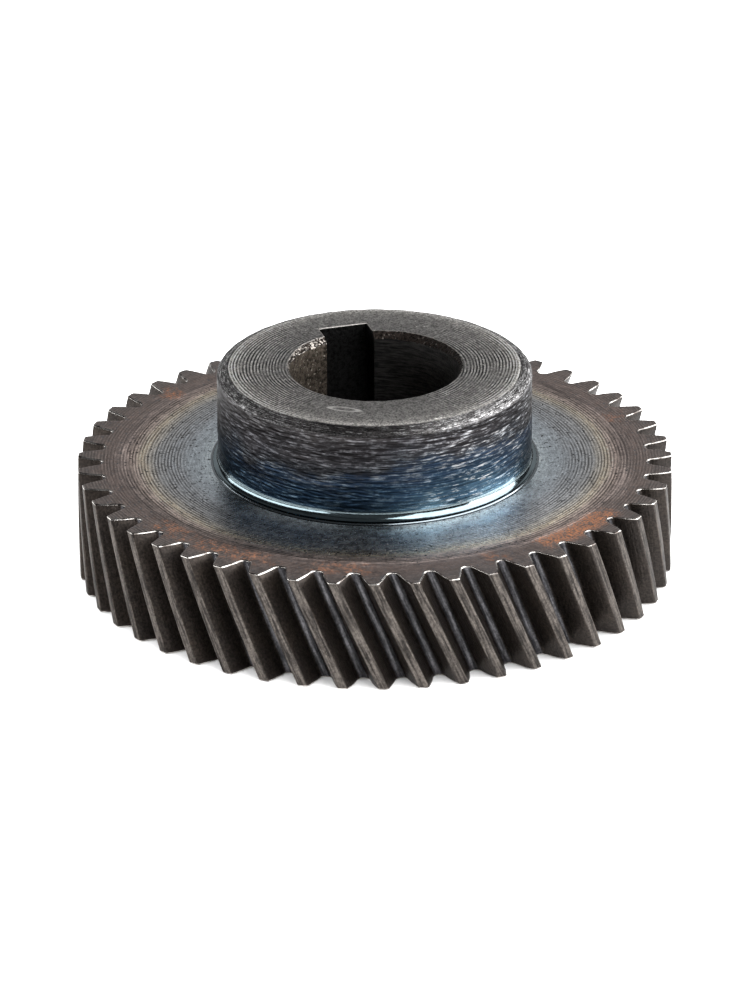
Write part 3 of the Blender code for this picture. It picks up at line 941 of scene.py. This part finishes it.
def mouth_finish():
    """The bore's chamfered mouth: rough and painted nearly black for its shade, with bright torn grains on
    one side.
    """
    steel = Finish("mouth_steel", roughness=0.42)
    grain = steel.span(steel.noise(steel.place, 4.0, 3.0, 0.65), 0.36, 0.64)
    # Painted shade: the mouth's own colour is nearly black.
    colour = steel.mix(grain, (0.008, 0.007, 0.006), (0.038, 0.030, 0.026))
    bright = steel.span(steel.noise(steel.place, 3.4, 2.0, 0.6), 0.50, 0.62)
    few = steel.span(steel.noise(steel.place, 3.0, 2.0, 0.6), 0.62, 0.68, 0.0, 0.25)
    bright = steel.math("MAXIMUM", steel.math("MULTIPLY", bright, bore_side(steel)), few)
    colour = steel.mix(bright, colour, (0.50, 0.46, 0.42))
    worn = steel.span(steel.height, NOSE - 0.06, NOSE - 0.03)
    steel.set("Base Color", steel.mix(worn, colour, (0.34, 0.32, 0.30)))
    steel.bump(grain, 0.05)
    return steel.material


def braze_finish():
    """The braze: smooth, bright and faintly blue, dull along its outer lip."""
    metal = Finish("braze_metal_finish")
    streaks = metal.noise(metal.ring_place(8.0, 3.0, 5.0), 1.0, 3.0)
    lip = metal.span(metal.radius, BRAZE_RADIUS - 0.34, BRAZE_RADIUS - 0.26)
    colour = metal.mix(streaks, (0.135, 0.18, 0.20), (0.235, 0.30, 0.325))
    metal.set("Base Color", metal.mix(lip, colour, (0.20, 0.23, 0.25)))
    metal.set("Roughness", metal.span(lip, 0.0, 1.0, 0.12, 0.20))
    metal.bump(metal.noise(metal.place, 3.0, 3.0), 0.006)
    return metal.material


# =====================================================================================
# Floor, lights and camera
# =====================================================================================
def make_floor():
    """A wide pale floor just under the gear."""
    half = 2.5
    low = -FLOOR_GAP * MM
    mesh = bpy.data.meshes.new("floor")
    corners = [(-half, -half, low), (half, -half, low), (half, half, low), (-half, half, low)]
    mesh.from_pydata(corners, [], [(0, 1, 2, 3)])
    floor = bpy.data.objects.new("floor", mesh)
    bpy.context.scene.collection.objects.link(floor)
    material = bpy.data.materials.new("floor_white")
    material.use_nodes = True
    shader = material.node_tree.nodes["Principled BSDF"]
    shader.inputs["Base Color"].default_value = (0.93, 0.93, 0.93, 1.0)
    shader.inputs["Roughness"].default_value = 0.8
    mesh.materials.append(material)


def add_light(name, azimuth, elevation, distance, size, brightness, shows_in_metal=True):
    """A soft rectangular light, aimed at the gear.

    Its azimuth is in degrees, 0 on the camera's right and 90 away from it. Distance and size are in metres.
    """
    light = bpy.data.lights.new(name, "AREA")
    light.shape = "RECTANGLE"
    light.size, light.size_y = size
    light.energy = brightness * math.pi * size[0] * size[1]
    lamp = bpy.data.objects.new(name, light)
    turn = VIEW_AZIMUTH + math.radians(90 + azimuth)
    flat = distance * math.cos(math.radians(elevation))
    up = distance * math.sin(math.radians(elevation))
    offset = Vector((flat * math.cos(turn), flat * math.sin(turn), up))
    lamp.location = Vector((0, 0, FACE * MM)) + offset
    lamp.rotation_euler = (-offset).to_track_quat("-Z", "Y").to_euler()
    lamp.visible_glossy = shows_in_metal
    lamp.visible_camera = False
    bpy.context.scene.collection.objects.link(lamp)


def make_lights():
    """Two softboxes on the right, a low strip on the left, three faint panels, and an even fill.

    The panels in front, above and behind are there for the metal to mirror, and the fill isn't mirrored.
    """
    world = bpy.data.worlds.new("studio")
    world.use_nodes = True
    background = world.node_tree.nodes["Background"]
    background.inputs["Color"].default_value = (0.032, 0.032, 0.034, 1.0)
    background.inputs["Strength"].default_value = 1.0
    bpy.context.scene.world = world
    add_light("right_high", -16, 41, 0.9, (1.8, 0.78), 5.0)
    add_light("right_low", 4, 12, 0.9, (0.76, 0.30), 8.0)
    add_light("left_strip", -170, 12, 0.9, (1.9, 0.21), 4.2)
    add_light("front_wall", -90, 22, 1.2, (1.6, 0.7), 0.08)
    add_light("ceiling", 90, 88, 1.5, (3.0, 3.0), 0.06)
    add_light("backdrop", 90, 24, 1.1, (1.5, 0.6), 0.40)
    add_light("even_fill", 180, 76, 1.6, (5.0, 5.0), 2.8, shows_in_metal=False)


def make_camera():
    """A long lens looking down at the gear's front face."""
    data = bpy.data.cameras.new("camera")
    data.lens = LENS
    data.sensor_width = 36.0
    data.clip_end = 20.0
    camera = bpy.data.objects.new("camera", data)
    flat = math.cos(VIEW_ELEVATION)
    back = Vector((
        flat * math.cos(VIEW_AZIMUTH), flat * math.sin(VIEW_AZIMUTH), math.sin(VIEW_ELEVATION)))
    middle = Vector((0, 0, FACE))
    location = middle + back * VIEW_DISTANCE
    right = Vector((0, 0, 1)).cross(back).normalized()
    up = back.cross(right)
    look = (middle - up * AIM_BELOW - location).normalized()
    turn = look.to_track_quat("-Z", "Y").to_matrix().to_4x4()
    roll = Matrix.Rotation(VIEW_ROLL, 4, "Z")
    camera.matrix_world = Matrix.Translation(location * MM) @ turn @ roll
    bpy.context.scene.collection.objects.link(camera)
    bpy.context.scene.camera = camera
    bpy.context.scene.view_settings.view_transform = "Standard"


def main():
    """Build the pieces, stand them in for their nodes, and set the stage."""
    make_camera()
    make_floor()
    make_lights()

    wheel = make_wheel([web_finish(), edge_finish(), flank_finish(), back_finish("back_steel")])
    hub = make_hub([hub_finish(), bore_finish(), mouth_finish(), back_finish("hub_back_steel")])
    braze = make_braze(braze_finish())
    for piece, node, slot in (
        (wheel, "toothed_wheel", "wheel_steel"),
        (hub, "keyed_hub", "hub_steel"),
        (braze, "braze_fillet", "braze_metal"),
    ):
        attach(piece, "root")
        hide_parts(node)


main()
